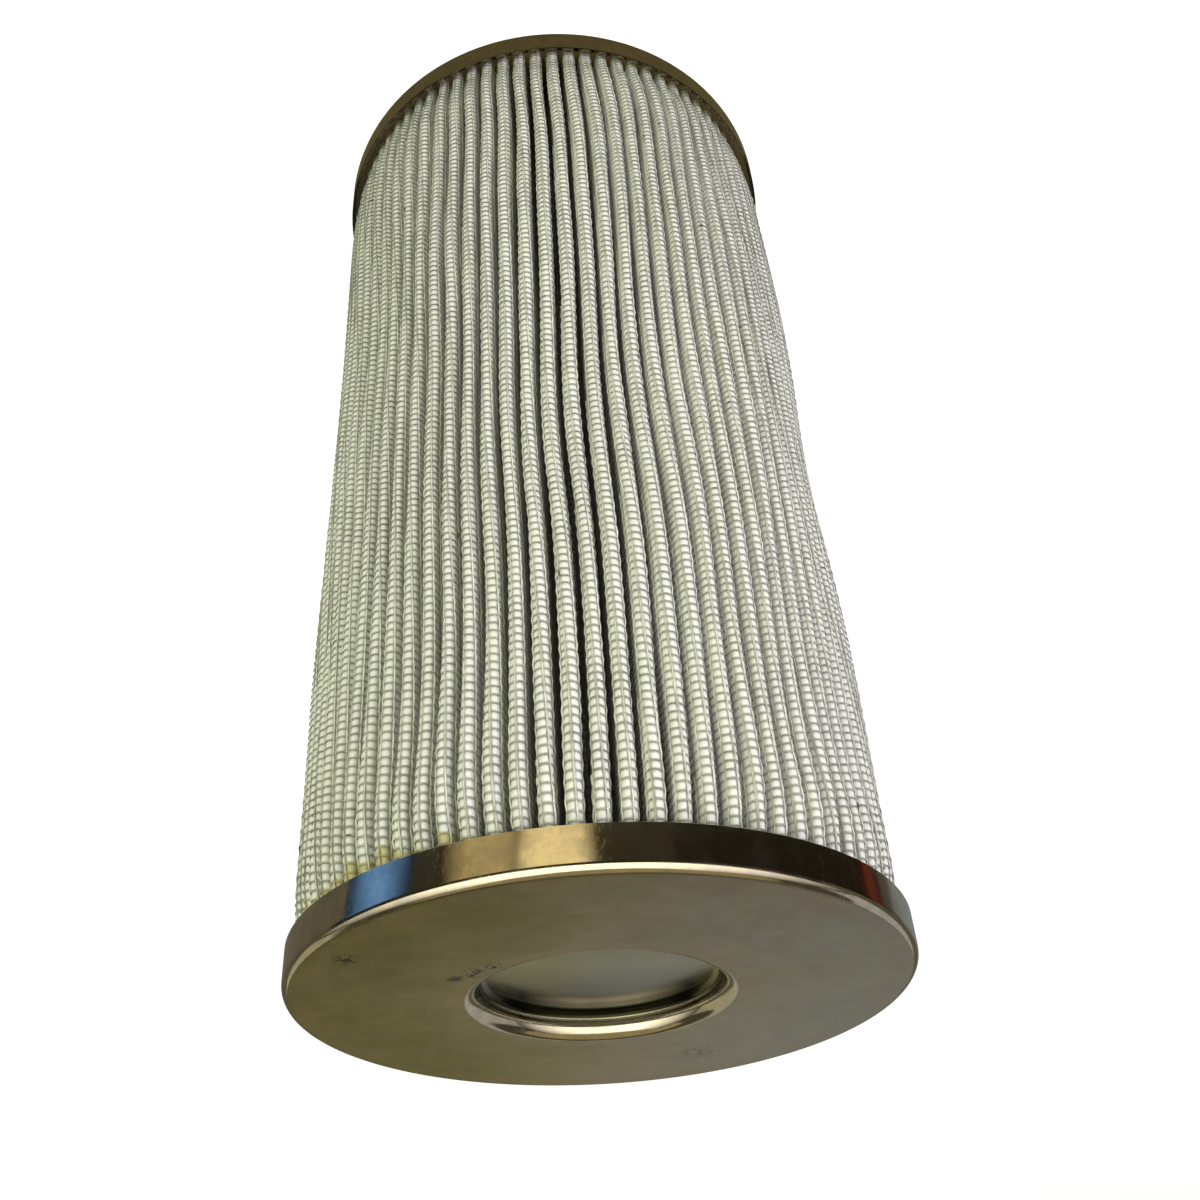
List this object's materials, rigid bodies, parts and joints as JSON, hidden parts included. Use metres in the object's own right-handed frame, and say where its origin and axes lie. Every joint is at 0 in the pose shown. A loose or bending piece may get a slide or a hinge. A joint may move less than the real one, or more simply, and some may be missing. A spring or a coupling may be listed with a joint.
{
  "type": "pleated filter element",
  "caption": "Return-line hydraulic filter element: pleated glass-fibre pack under wire cloth between two pressed steel end caps, one closed and one with a sealed outlet.",
  "frame": {"origin": "centre of the open end's face, which the element stands on", "axes": "+Z along the element's axis, from the open end up to the closed end; +X along one pleat's crest line"},
  "size_m": [0.13, 0.13, 0.257],
  "materials": {
    "passivated_steel": "satin yellow-grey zinc plate, glossy on the rim",
    "pleated_media": "matt off-white glass fibre and fleece under the cloth",
    "coated_wire": "thin pale epoxy on fine steel wire",
    "core_steel": "plain zinc plate",
    "adhesive": "cured amber adhesive",
    "seal_rubber": "matt black nitrile rubber"
  },
  "bodies": {
    "root": {"open_end_cap": "passivated_steel", "closed_end_cap": "passivated_steel", "blanking_disc": "passivated_steel", "outlet_seal": "seal_rubber", "open_end_potting": "adhesive", "closed_end_potting": "adhesive", "pleated_pack": "pleated_media", "core_tube": "core_steel"}
  },
  "joints": []
}
